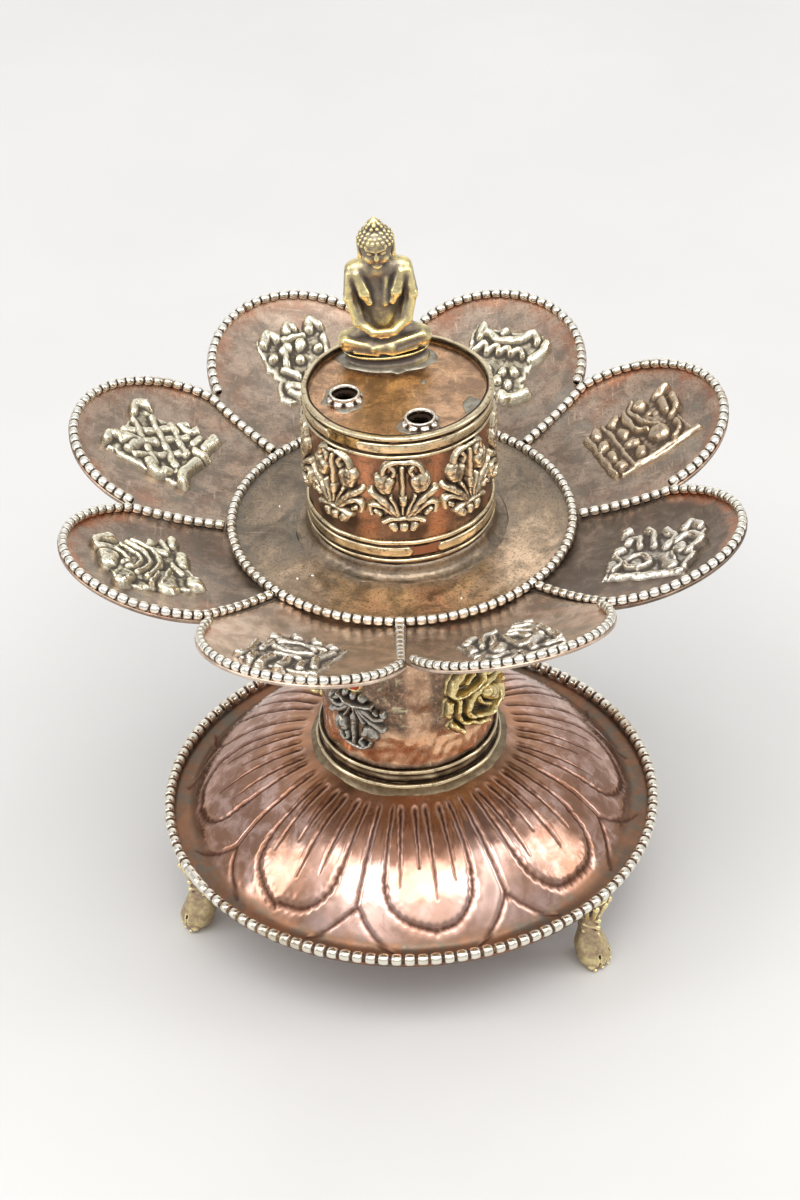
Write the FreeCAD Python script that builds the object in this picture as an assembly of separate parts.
"""Lotus incense-stick stand: sheet copper, brass trim, beaded wire and cast ornaments, all soldered.

Frame: +Z up, origin on the floor at the column's axis, front of the stand towards -Y. Millimetres.
"""
import FreeCAD, Part
import math
import os

from FreeCAD import Vector, Placement, Rotation

# ---- driving dimensions -------------------------------------------------------------------------
SHEET = 0.8                 # copper sheet thickness
GAP = 0.05                  # clearance between soldered neighbours

RIM_R = 65.0                # base rim: centreline of the beaded wire
RIM_Z = 26.0
RIM_WIRE_R = 1.4
BORDER_R = 58.5             # where the dome springs from the flat border

COLUMN_R = 22.4
COLUMN_Z0 = 47.9
BAND_H = 5.8                # column's lower trim band

TRAY_Z = 116.8              # top face of the tray's centre disc
TRAY_SHEET = 1.0
TRAY_R = 42.6               # centre disc
RING_R = 43.2               # centreline of the tray's bead ring
RING_WIRE_R = 1.1

PETALS = 8
PETAL_SPAN = 360.0 / PETALS
PETAL_ARC_R = 26.0          # round end of a petal
PETAL_ARC_U = 63.4          # distance of that arc's centre from the axis
PETAL_RISE = 0.2116         # slope of the petal's edge at the ring
PETAL_CURL = 0.00306        # how the slope grows outwards
PETAL_DISH = 1.6            # depth of the hollow in the middle of a petal
EDGE_WIRE_R = 1.3

DRUM_R = 22.9
DRUM_TOP = 158.6
DRUM_BAND_H = 6.4
DRUM_LOW_BAND_Z = 121.2
PLATE_DROP = 1.4            # plate's depth below the drum's rim

CUP_H = 2.6
CUP_BORE_R = 2.9
CUPS = {"left": (-13.0, -4.4), "right": (5.2, -15.8)}
LOST_CUP = (18.0, -8.4)

FIGURE_X = -2.4
FIGURE_Y = 14.2
FIGURE_LEAN = -3.0          # degrees, to the left

FOOT_R = 61.5               # distance of a foot's middle from the axis
FOOT_AZIMUTHS = {"left": -71.0, "right": 50.0, "rear": 170.0}

SPRAY_Z = 68.0              # castings round the column
SPRAY_AZIMUTHS = {"front": -37.0, "back": 143.0}
SCROLL_Z = 71.5
SCROLL_AZIMUTHS = {"right": 50.0, "left": 230.0}
STONE_Z = 80.0
BEZEL_R = 3.1
BEZEL_H = 1.6
STONE_R = 2.5
LOTUS_Z = 140.2             # castings round the drum, one over each petal's middle or so
LOTUS_AZIMUTH = 1.0

# Petals by azimuth from the front, anticlockwise seen from above: name, extra lift of the tip,
# which of its two seams carry its wire (-1 the seam at the lower azimuth, +1 the higher), emblem.
PETAL_TABLE = [
    ("front_right", 4.0, (), "two_fish"),
    ("right_front", 0.0, (-1, 1), "victory_banner"),
    ("right_back", 0.0, (1,), "lotus"),
    ("back_right", -2.0, (1,), "parasol"),
    ("back_left", 0.0, (), "wheel"),
    ("left_back", 0.0, (-1,), "endless_knot"),
    ("left_front", 0.0, (-1, 1), "conch"),
    ("front_left", 0.0, (1,), "treasure_vase"),
]

EMBLEM_U = 67.0             # emblem's middle, measured from the axis
EMBLEM_BACK = 0.7           # thickness of an emblem's backing plate
EMBLEM_RELIEF = 2.0

# Strokes of the castings: (half width, points). On a petal the second number runs to the tip.
EMBLEMS = {
    "conch": [
        (3.4, [(-1, 1), (3, 4)]),
        (1.6, [(-7, -4), (-2, -1), (4, 2), (8, 8)]),
        (1.1, [(-8, 3), (-4, 8), (2, 10)]),
        (1.3, [(9, 9), (7, 3), (10, -3)]),
        (1.2, [(-9, -9), (-3, -10), (3, -9), (8, -10)]),
        (1.2, [(3, -4), (8, -6)]),
        (1.2, [(-10, 9), (-8, 7)]),
    ],
    "endless_knot": [
        (1.0, [(-8, 0), (0, 8), (8, 0), (0, -8), (-8, 0)]),
        (1.0, [(-8, 5), (-3, 10), (8, -1)]),
        (1.0, [(8, 5), (3, 10), (-8, -1)]),
        (1.0, [(-5, -5), (5, 5)]),
        (1.0, [(5, -5), (-5, 5)]),
        (1.3, [(-9, -9), (-4, -10), (3, -10), (9, -9)]),
        (1.2, [(-10, 9), (-8, 6)]),
        (1.2, [(9, 10), (7, 7)]),
    ],
    "wheel": [
        (1.1, [(6, 0), (4, 4), (0, 6), (-4, 4), (-6, 0), (-4, -4), (0, -6), (4, -4), (6, 0)]),
        (0.8, [(-6, 0), (6, 0)]),
        (0.8, [(0, -6), (0, 6)]),
        (0.8, [(-4, -4), (4, 4)]),
        (0.8, [(-4, 4), (4, -4)]),
        (1.6, [(0, 0), (0.4, 0)]),
        (1.3, [(-9, 9), (-5, 8), (0, 10), (5, 8), (9, 9)]),
        (1.3, [(-8, -8), (-3, -10), (3, -10), (8, -8)]),
    ],
    "parasol": [
        (1.3, [(-7, 4), (-4, 8), (0, 10), (4, 8), (7, 4)]),
        (1.6, [(-7, 3), (7, 3)]),
        (1.1, [(-6, 0), (-5, -1), (-3, 1), (-1, -1), (1, 1), (3, -1), (5, 1), (6, -1)]),
        (0.9, [(0, 9), (0, -9)]),
        (1.2, [(-9, 8), (-7, 10)]),
        (1.2, [(9, 8), (7, 10)]),
        (1.3, [(-8, -9), (-3, -8), (0, -10), (3, -8), (8, -9)]),
    ],
    "lotus": [
        (1.5, [(0, -2.2), (0, 6.3)]),
        (1.3, [(-2, -3), (-4.2, 2), (-3, 6.1)]),
        (1.3, [(2, -3), (4.2, 2), (3, 6.1)]),
        (1.4, [(-3, -4.1), (-8, 0.2), (-9, 4.3)]),
        (1.4, [(3, -4.1), (8, 0.2), (9, 4.3)]),
        (1.1, [(-9, -6.2), (9, -6)]),
        (1.3, [(-9, -9.5), (9, -9.3)]),
        (1.2, [(-8, 8.7), (0, 9.8), (8, 8.9)]),
    ],
    "victory_banner": [
        (1.2, [(-6, 6), (6, 6)]),
        (1.3, [(-5, 2), (5, 2)]),
        (1.3, [(-5, -2), (5, -2)]),
        (1.3, [(-6, -6), (6, -6)]),
        (1.2, [(-6, 6), (-5, -6)]),
        (1.2, [(6, 6), (5, -6)]),
        (1.5, [(0, 6), (0, 10)]),
        (1.2, [(-9, 8), (-9, -3)]),
        (1.2, [(9, 8), (9, -3)]),
        (1.2, [(-9, -9), (-3, -10), (3, -10), (9, -9)]),
    ],
    "two_fish": [
        (1.7, [(-6, 8), (-5, 2), (-1, -3), (4, -7)]),
        (1.7, [(6, 8), (5, 2), (1, -3), (-4, -7)]),
        (1.2, [(-9, 9), (-6, 7), (-3, 10)]),
        (1.2, [(9, 9), (6, 7), (3, 10)]),
        (1.2, [(-9, -9), (-5, -10), (0, -10), (5, -10), (9, -9)]),
        (1.1, [(-9, 2), (-9, -5)]),
        (1.1, [(9, 2), (9, -5)]),
    ],
    "treasure_vase": [
        (1.55, [(-5, 1), (-4.6, -4), (0, -7), (4.6, -4), (5, 1), (2.6, 4), (-2.6, 4), (-5, 1)]),
        (2.4, [(-0.8, -2), (0.9, -1.7)]),
        (1.2, [(-3, 6.6), (3.2, 6.5)]),
        (1.3, [(-5, 9), (-2, 10), (0, 9), (2, 10), (5, 9)]),
        (1.2, [(-9, 8), (-8, 2), (-9, -4)]),
        (1.2, [(9, 8), (8, 2), (9, -4)]),
        (1.3, [(-8, -9.5), (8, -9.5)]),
    ],
}

LOTUS_CASTING = [
    (0.9, [(0, 9.0), (0, 1.5)]),
    (1.2, [(0, -0.5), (0, -1.5)]),
    (1.5, [(-4.2, 4.8), (-3.0, 2.2)]),
    (1.5, [(4.2, 4.8), (3.0, 2.2)]),
    (0.8, [(-3.4, 8.6), (-1.6, 9.6), (1.6, 9.6), (3.4, 8.6)]),
    (0.9, [(-7.2, 1.8), (-4.6, -1.2), (-1.0, -4.6)]),
    (0.9, [(7.2, 1.8), (4.6, -1.2), (1.0, -4.6)]),
    (0.8, [(-5.6, -4.0), (-7.2, -2.0), (-4.4, -2.4), (-1.0, -5.0)]),
    (0.8, [(5.6, -4.0), (7.2, -2.0), (4.4, -2.4), (1.0, -5.0)]),
    (0.7, [(-2.4, -0.4), (-0.6, -4.4)]),
    (0.7, [(2.4, -0.4), (0.6, -4.4)]),
    (0.8, [(-4.8, -6.4), (0, -5.0), (4.8, -6.4)]),
    (1.5, [(0, -8.2), (0.1, -8.2)]),
    (1.3, [(-3.0, -7.9), (-2.4, -8.4)]),
    (1.3, [(3.0, -7.9), (2.4, -8.4)]),
]

SCROLL_CASTING = [
    (0.9, [(-6, 3), (-7, 7), (-4, 10), (-0.5, 9), (0, 5), (-3, 3), (-6, 3)]),
    (1.1, [(2, 10), (4, 6), (8, 5)]),
    (2.2, [(0.5, -1.5), (2.5, -3.5)]),
    (0.9, [(-3, 0), (-3, -4), (0, -7), (4, -8), (6.5, -5), (6, -1), (2, 2), (-3, 0)]),
    (1.2, [(5, -8), (8, -10)]),
    (0.85, [(-5.6, 0.6), (-4.9, -4.6), (-0.7, -9.4)]),
    (1.0, [(6, 2), (8, 0)]),
]
# -------------------------------------------------------------------------------------------------


def save(name, shape):
    shape.exportStep("parts/%s.step" % name)


def on_azimuth(shape, azimuth):
    """Turn a shape built towards -Y to an azimuth, positive towards +X."""
    turned = shape.copy()
    turned.rotate(Vector(0, 0, 0), Vector(0, 0, 1), azimuth)
    return turned


def turned(points):
    """Solid of revolution about Z from (radius, height) points."""
    loop = [Vector(r, 0, z) for r, z in points]
    face = Part.Face(Part.makePolygon(loop + [loop[0]]))
    return face.revolve(Vector(0, 0, 0), Vector(0, 0, 1), 360)


def tube(r_out, r_in, z0, z1):
    return Part.makeCylinder(r_out, z1 - z0, Vector(0, 0, z0)).cut(
        Part.makeCylinder(r_in, z1 - z0, Vector(0, 0, z0)))


def ring(radius, wire_r, z):
    return Part.makeTorus(radius, wire_r, Vector(0, 0, z), Vector(0, 0, 1))


def oval(rx, ry, height, centre):
    """Upright cylinder with an elliptical plan."""
    x, y, z = centre
    long_axis = Vector(1, 0, 0) if rx > ry else Vector(0, 1, 0)
    curve = Part.Ellipse(Vector(x, y, z), max(rx, ry), min(rx, ry))
    edge = curve.toShape()
    if long_axis.y:
        edge.rotate(Vector(x, y, z), Vector(0, 0, 1), 90)
    return Part.Face(Part.Wire([edge])).extrude(Vector(0, 0, height))


def rod(a, b, r0, r1):
    """Round-ended tapered rod from point a to point b."""
    a, b = Vector(*a), Vector(*b)
    shaft = Part.makeCone(r0, r1, (b - a).Length, a, b - a) if r0 != r1 else \
        Part.makeCylinder(r0, (b - a).Length, a, b - a)
    return shaft.multiFuse([Part.makeSphere(r0, a), Part.makeSphere(r1, b)])


# ---- base ---------------------------------------------------------------------------------------

def dome_profile():
    """Top surface of the base from the edge to the neck, as (radius, height)."""
    return [(RIM_R, 23.7), (RIM_R, 24.4), (63.6, 24.6), (BORDER_R, 25.4), (57.2, 27.0), (55.7, 28.9),
            (52.0, 33.0), (48.0, 36.6), (44.0, 39.6), (40.0, 42.0), (36.0, 43.9),
            (32.0, 45.4), (28.0, 46.6), (25.0, 47.4), (COLUMN_R + GAP, 47.8)]


def base_dome():
    top = dome_profile()
    edge = [Vector(r, 0, z) for r, z in top[:4]]
    dome = [Vector(r, 0, z) for r, z in top[3:]]
    curve = Part.BSplineCurve()
    curve.interpolate(dome)
    under = [Vector(v.x, 0, v.z - SHEET) for v in dome]
    under_curve = Part.BSplineCurve()
    under_curve.interpolate(list(reversed(under)))
    under_edge = [under[0], Vector(63.6, 0, 24.6 - SHEET)]
    wires = [Part.makePolygon(edge).Edges, [curve.toShape()],
             [Part.makeLine(dome[-1], under[-1])], [under_curve.toShape()],
             Part.makePolygon(under_edge).Edges, [Part.makeLine(under_edge[-1], edge[0])]]
    face = Part.Face(Part.Wire([e for group in wires for e in group]))
    return face.revolve(Vector(0, 0, 0), Vector(0, 0, 1), 360)


def paw_foot():
    """Cast paw foot towards -Y: four toes forward, ridged ankle, leaf under the rim."""
    y = -FOOT_R
    pad = rod((0, y + 1.4, 4.1), (0, y - 0.4, 3.6), 4.5, 4.0)
    toes = [rod((x * 0.8, y - 1.5, 4.2), (x, y - 3.6 + abs(x) * 0.4, 2.1), 1.5, 1.3)
            for x in (-3.2, -1.1, 1.15, 3.25)]
    ankle = [rod((0, y + 1.4, 5.0), (0, y + 1.8, 12.0), 3.3, 2.5),
             rod((0, y + 1.8, 12.0), (0, y + 0.4, 19.8), 2.5, 3.1)]
    ridges = [Part.makeTorus(2.5 + 0.12 * k, 0.75, Vector(0, y + 1.6 - 0.3 * k, 11.0 + 2.4 * k))
              for k in range(3)]
    leaf = Part.makeCone(2.8, 5.0, 4.7, Vector(0, y + 0.3, 19.35))
    body = pad.multiFuse(toes + ankle + ridges + [leaf])
    keep = Part.makeBox(30, 30, 24.0, Vector(-15, y - 15, 0))
    return body.common(keep)


# ---- column -------------------------------------------------------------------------------------

def column_band():
    z = COLUMN_Z0
    r = COLUMN_R + GAP
    return turned([(r, z), (r + 1.3, z), (r + 1.5, z + 0.6), (r + 1.1, z + 1.3), (r + 0.7, z + 1.6),
                   (r + 0.7, z + BAND_H - 1.5), (r + 1.15, z + BAND_H - 1.1),
                   (r + 1.3, z + BAND_H - 0.6), (r + 1.0, z + BAND_H - 0.1), (r + 0.6, z + BAND_H),
                   (r, z + BAND_H)])


def drum_band(z):
    r = DRUM_R + GAP
    h = DRUM_BAND_H
    return turned([(r, z), (r + 0.5, z), (r + 0.75, z + 0.5), (r + 0.5, z + 1.0), (r + 0.3, z + 1.3),
                   (r + 0.55, z + 2.4), (r + 0.55, z + h - 2.2), (r + 0.3, z + h - 1.5),
                   (r + 0.7, z + h - 1.1), (r + 0.85, z + h - 0.6), (r + 0.6, z + h - 0.1), (r + 0.3, z + h),
                   (r, z + h)])


def flat_strokes(strokes, depth):
    """Strokes drawn in the XZ plane as prisms of the given depth along -Y."""
    solids = []
    for half, points in strokes:
        solids += [Part.makeCylinder(half, depth, Vector(x, 0, z), Vector(0, -1, 0)) for x, z in points]
        for (x0, z0), (x1, z1) in zip(points, points[1:]):
            length = math.hypot(x1 - x0, z1 - z0)
            bar = Part.makeBox(length, depth, 2 * half, Vector(0, -depth, -half))
            bar.rotate(Vector(0, 0, 0), Vector(0, -1, 0), math.degrees(math.atan2(z1 - z0, x1 - x0)))
            bar.translate(Vector(x0, 0, z0))
            solids.append(bar)
    return solids[0].multiFuse(solids[1:])


def round_casting(strokes, r_wall, z, backing, relief):
    """A casting soldered on a round wall facing -Y, centred at height z."""
    r0 = r_wall + GAP
    prisms = flat_strokes(strokes, r_wall + 10.0)
    prisms.translate(Vector(0, 0, z))
    raised = prisms.common(tube(r0 + relief, r0, z - 15, z + 15))
    lowest = min(p[1] for _, points in strokes for p in points)
    highest = max(p[1] for _, points in strokes for p in points)
    plate = oval(backing, (highest - lowest) / 2.0, r_wall + 10.0, (0, 0, 0))
    plate.rotate(Vector(0, 0, 0), Vector(1, 0, 0), 90)
    plate.translate(Vector(0, 0, z + (highest + lowest) / 2.0))
    plate = plate.common(tube(r0 + 0.6, r0, z - 15, z + 15))
    return raised.fuse(plate)


# ---- petals -------------------------------------------------------------------------------------

def petal_height(u, v, lift):
    """Height of a petal's top face over the point u along its middle line and v across it."""
    radius = math.hypot(u, v)
    out = max(radius - RING_R, 0.0)
    reach = PETAL_ARC_U + PETAL_ARC_R - RING_R
    edge = PETAL_RISE * out + PETAL_CURL * out * out + lift * (out / reach) ** 2
    across = ((u - PETAL_ARC_U) / PETAL_ARC_R) ** 2 + (v / PETAL_ARC_R) ** 2
    return TRAY_Z + edge - PETAL_DISH * max(0.0, 1.0 - across)


def petal_sheet(lift, low, high):
    """Dished layer between two offsets over a petal's top face, towards +X, wider than the petal."""
    across = [-32.0 + 4.0 * j for j in range(17)]
    along = [36.0 + 4.4 * i for i in range(14)]
    rows = [[Vector(u, v, petal_height(u, v, lift) + low) for v in across] for u in along]
    surface = Part.BSplineSurface()
    surface.interpolate(rows)
    return surface.toShape().extrude(Vector(0, 0, high - low))


def petal_outline():
    """Plan of a petal as a tall prism towards +X: a sector with a round end."""
    half = math.radians(PETAL_SPAN / 2.0)
    far = 120.0
    inset = GAP / math.cos(half)
    sector = Part.Face(Part.makePolygon([
        Vector(inset, 0, 0), Vector(far, (far - inset) * math.tan(half), 0),
        Vector(far, -(far - inset) * math.tan(half), 0), Vector(inset, 0, 0)])).extrude(Vector(0, 0, 200))
    near = Part.makeBox(PETAL_ARC_U - 10, 200, 200, Vector(0, -100, 0))
    end = Part.makeCylinder(PETAL_ARC_R, 200, Vector(PETAL_ARC_U, 0, 0))
    core = Part.makeCylinder(TRAY_R + GAP, 200)
    return sector.common(near.fuse(end)).cut(core)


def notch():
    """Where a petal's arc leaves its seam, on the wire's centreline, as (u, v)."""
    half = math.radians(PETAL_SPAN / 2.0)
    inset = EDGE_WIRE_R + GAP
    radius = PETAL_ARC_R - inset
    offset = PETAL_ARC_U * math.sin(half) - inset
    along = PETAL_ARC_U * math.cos(half) + math.sqrt(radius ** 2 - offset ** 2)
    u = along * math.cos(half) + inset * math.sin(half)
    v = along * math.sin(half) - inset * math.cos(half)
    return u, v


def wire_path(seams, lift):
    """Centreline of a petal's beaded wire: the round end, and the seams that it also follows."""
    half = math.radians(PETAL_SPAN / 2.0)
    inset = EDGE_WIRE_R + GAP
    radius = PETAL_ARC_R - inset
    u_n, v_n = notch()
    stop = math.atan2(v_n, u_n - PETAL_ARC_U)
    steps = 14
    points = []
    for i in range(steps + 1):
        a = -stop + 2 * stop * i / steps
        points.append((PETAL_ARC_U + radius * math.cos(a), radius * math.sin(a)))
    start = RING_R + RING_WIRE_R + EDGE_WIRE_R + 0.3
    run = math.hypot(u_n, v_n) - start
    seam = []
    for k in range(4):
        along = start + run * k / 4.0
        seam.append((along * math.cos(half) + inset * math.sin(half),
                     along * math.sin(half) - inset * math.cos(half)))
    if 1 in seams:
        points = points + list(reversed(seam))
    if -1 in seams:
        points = [(u, -v) for u, v in seam] + points
    return [Vector(u, v, petal_height(u, v, lift) + EDGE_WIRE_R * 1.06) for u, v in points]


def petal_wire(seams, lift):
    path = Part.BSplineCurve()
    path.interpolate(wire_path(seams, lift))
    spine = Part.Wire([path.toShape()])
    start = path.value(path.FirstParameter)
    way = path.tangent(path.FirstParameter)[0]
    section = Part.Wire([Part.makeCircle(EDGE_WIRE_R, start, way)])
    return spine.makePipeShell([section], True, True)


def emblem(kind, lift):
    """Square casting on a petal towards +X, following the petal's dish."""
    solids = []
    for half, points in EMBLEMS[kind]:
        solids += [Part.makeCylinder(half, 200, Vector(EMBLEM_U + y, -x, 0)) for x, y in points]
        for (x0, y0), (x1, y1) in zip(points, points[1:]):
            length = math.hypot(x1 - x0, y1 - y0)
            bar = Part.makeBox(length, 2 * half, 200, Vector(0, -half, 0))
            bar.rotate(Vector(0, 0, 0), Vector(0, 0, 1), math.degrees(math.atan2(-(x1 - x0), y1 - y0)))
            bar.translate(Vector(EMBLEM_U + y0, -x0, 0))
            solids.append(bar)
    strokes = solids[0].multiFuse(solids[1:])
    backing = Part.makeBox(19, 18, 200, Vector(EMBLEM_U - 9.5, -9, 0))
    raised = strokes.common(petal_sheet(lift, GAP, EMBLEM_RELIEF))
    plate = backing.common(petal_sheet(lift, GAP, EMBLEM_BACK))
    return raised.fuse(plate)


# ---- top ----------------------------------------------------------------------------------------

def stick_cup(x, y, z):
    """Crimped eight-lobed collar with a plain bore."""
    body = Part.makeCone(4.1, 3.6, CUP_H, Vector(x, y, z))
    corners = [math.radians(a) for a in range(0, 360, 45)]
    lobes = [Part.makeCylinder(0.9, CUP_H * 0.55, Vector(x + 3.7 * math.cos(a), y + 3.7 * math.sin(a), z))
             for a in corners]
    return body.multiFuse(lobes).cut(Part.makeCylinder(CUP_BORE_R, CUP_H, Vector(x, y, z)))


def seated_figure(z):
    """Seated cross-legged figure on an oval plinth, one casting, facing -Y, leaning a little."""
    plinth = oval(11.3, 5.7, 3.2, (0, 0, 0))
    parts = [rod((0, -1.0, 5.2), (side * 8.2, -1.6, 5.5), 2.4, 2.8) for side in (-1, 1)]
    parts += [rod((side * 8.2, -1.62, 5.51), (side * 3.6, 1.6, 7.0), 2.7, 3.3) for side in (-1, 1)]
    parts += [rod((0, 0.9, 6.4), (0, 0.8, 15.0), 4.4, 3.8), rod((0, 0.75, 14.8), (0, 0.82, 23.6), 4.3, 4.7),
              rod((-5.0, 0.7, 27.0), (5.0, 0.7, 27.0), 2.6, 2.6)]
    for side in (-1, 1):
        parts.append(rod((side * 6.3, 0.6, 26.4), (side * 7.0, -0.3, 16.6), 2.2, 1.8))
        parts.append(rod((side * 7.0, -0.35, 16.55), (side * 2.0, -4.4, 11.2), 1.75, 1.3))
        parts.append(rod((side * 4.15, -0.3, 35.6), (side * 4.3, -0.4, 32.2), 0.85, 0.75))
    parts.append(rod((-2.4, -4.2, 10.8), (2.4, -4.3, 11.0), 1.4, 1.5))
    parts.append(rod((0, 0.4, 27.0), (0, 0.0, 31.4), 2.5, 2.2))
    parts.append(rod((0, -0.3, 35.6), (0, -1.3, 32.6), 4.3, 3.1))
    parts.append(rod((0, -4.3, 35.0), (0, -5.0, 33.5), 0.35, 0.6))
    parts.append(rod((-0.8, -4.2, 31.9), (0.8, -4.2, 31.9), 0.4, 0.4))
    parts.append(Part.makeSphere(1.8, Vector(0, 0.1, 39.7)))
    parts.append(rod((0, 0.1, 40.7), (0, 0.15, 41.5), 0.95, 0.5))
    body = plinth
    for piece in parts:
        body = body.fuse(piece)
    body.rotate(Vector(0, 0, 0), Vector(0, 1, 0), FIGURE_LEAN)
    body.translate(Vector(FIGURE_X, FIGURE_Y, z))
    keep = Part.makeBox(60, 60, 60, Vector(-30, -15, z + GAP))
    return body.common(keep)


def column_ornaments():
    """Two lotus sprays hung upside down, each under a coral in a bezel, and two scrolls between them."""
    inverted = [(half, [(-x, -y) for x, y in points]) for half, points in LOTUS_CASTING]
    spray = round_casting(inverted, COLUMN_R, SPRAY_Z, 6.0, 1.9)
    scroll = round_casting(SCROLL_CASTING, COLUMN_R, SCROLL_Z, 6.0, 2.6)
    seat_r = COLUMN_R + GAP
    out = Vector(0, -1, 0)
    bezel = Part.makeCylinder(BEZEL_R, BEZEL_H, Vector(0, -seat_r + 0.3, STONE_Z), out)
    bezel = bezel.cut(Part.makeCylinder(STONE_R + GAP, 3.0, Vector(0, -seat_r - 0.5, STONE_Z), out))
    bezel = bezel.cut(Part.makeCylinder(seat_r, 20, Vector(0, 0, STONE_Z - 10)))
    stone = Part.makeSphere(3.0, Vector(0, -seat_r + 0.75, STONE_Z))
    stone = stone.common(Part.makeCylinder(STONE_R, 5.0, Vector(0, -seat_r - 0.5 - GAP, STONE_Z), out))
    for side, azimuth in SPRAY_AZIMUTHS.items():
        save("column_spray_" + side, on_azimuth(spray, azimuth))
        save("coral_bezel_" + side, on_azimuth(bezel, azimuth))
        save("coral_" + side, on_azimuth(stone, azimuth))
    for side, azimuth in SCROLL_AZIMUTHS.items():
        save("column_scroll_" + side, on_azimuth(scroll, azimuth))


def base():
    dome = base_dome()
    save("base_dome", dome)
    save("base_bead_wire", ring(RIM_R, RIM_WIRE_R, RIM_Z + GAP))
    lowered = dome.translated(Vector(0, 0, -GAP))
    foot = paw_foot().cut(lowered)
    for name, azimuth in FOOT_AZIMUTHS.items():
        save("foot_" + name, on_azimuth(foot, azimuth))
    skirt = turned([(COLUMN_R + GAP, COLUMN_Z0 - 2.5), (26.8, COLUMN_Z0 - 2.5), (26.4, 47.1), (24.9, 48.0),
                    (COLUMN_R + 1.6, COLUMN_Z0), (COLUMN_R + GAP, COLUMN_Z0)]).cut(dome)
    save("column_foot_solder", max(skirt.Solids, key=lambda solid: solid.BoundBox.ZMax))


def column():
    save("column_lower_band", column_band())
    top = TRAY_Z - TRAY_SHEET - GAP
    save("column_tube", tube(COLUMN_R, COLUMN_R - SHEET, COLUMN_Z0 - 3.0, top))
    save("column_top_solder", turned([(COLUMN_R + GAP, top - 2.4), (COLUMN_R + 0.8, top - 1.6),
                                      (COLUMN_R + 2.4, top - 0.6), (COLUMN_R + 2.6, top),
                                      (COLUMN_R + GAP, top)]))
    column_ornaments()


def tray():
    save("tray_disc", Part.makeCylinder(TRAY_R, TRAY_SHEET, Vector(0, 0, TRAY_Z - TRAY_SHEET)))
    save("tray_bead_ring", ring(RING_R, RING_WIRE_R, TRAY_Z + RING_WIRE_R + 0.1))
    outline = petal_outline()
    for index, (name, lift, seams, kind) in enumerate(PETAL_TABLE):
        azimuth = -90.0 + PETAL_SPAN * (index + 0.5)
        save("petal_" + name, on_azimuth(outline.common(petal_sheet(lift, -TRAY_SHEET, 0.0)), azimuth))
        save("petal_wire_" + name, on_azimuth(petal_wire(seams, lift), azimuth))
        save("emblem_" + kind, on_azimuth(emblem(kind, lift), azimuth))


def drum():
    save("drum_foot_solder", turned([(DRUM_R + GAP, TRAY_Z + GAP), (DRUM_R + 2.2, TRAY_Z + GAP),
                                     (DRUM_R + 1.2, TRAY_Z + 0.9), (DRUM_R + 0.5, TRAY_Z + 2.6),
                                     (DRUM_R + GAP, TRAY_Z + 3.0)]))
    save("drum_tube", tube(DRUM_R, DRUM_R - SHEET, TRAY_Z + GAP, DRUM_TOP - 0.3))
    save("drum_lower_band", drum_band(DRUM_LOW_BAND_Z))
    save("drum_upper_band", drum_band(DRUM_TOP - DRUM_BAND_H))
    lotus = round_casting(LOTUS_CASTING, DRUM_R, LOTUS_Z, 5.0, 2.0)
    castings = [on_azimuth(lotus, LOTUS_AZIMUTH + PETAL_SPAN * k) for k in range(PETALS)]
    save("drum_lotus_ornaments", Part.makeCompound(castings))


def drum_top():
    """Plate sunk in the drum with two stick cups, the scar of a third, and the seated figure."""
    plate_z = DRUM_TOP - PLATE_DROP
    plate_r = DRUM_R - SHEET - GAP
    plate = Part.makeCylinder(plate_r, SHEET, Vector(0, 0, plate_z - SHEET))
    solder = []
    for side, (x, y) in CUPS.items():
        plate = plate.cut(Part.makeCylinder(CUP_BORE_R, SHEET, Vector(x, y, plate_z - SHEET)))
        save("stick_cup_" + side, stick_cup(x, y, plate_z + GAP))
        halo = Part.makeCone(5.4, 4.75, 0.5, Vector(x, y, plate_z + GAP))
        solder.append(halo.cut(Part.makeCylinder(4.7, 3, Vector(x, y, plate_z))))
    save("drum_top_plate", plate)
    solder.append(Part.makeCone(3.4, 2.4, 0.5, Vector(LOST_CUP[0], LOST_CUP[1], plate_z + GAP)))
    inside = Part.makeCylinder(plate_r, 5, Vector(0, 0, plate_z))
    save("plate_solder", Part.makeCompound([patch.common(inside) for patch in solder]))
    figure = seated_figure(plate_z)
    save("figure", figure)
    skirt = oval(12.4, 6.8, 0.6, (FIGURE_X, FIGURE_Y, plate_z + GAP))
    save("figure_solder", skirt.cut(figure).common(inside))


os.makedirs("parts", exist_ok=True)
base()
column()
tray()
drum()
drum_top()
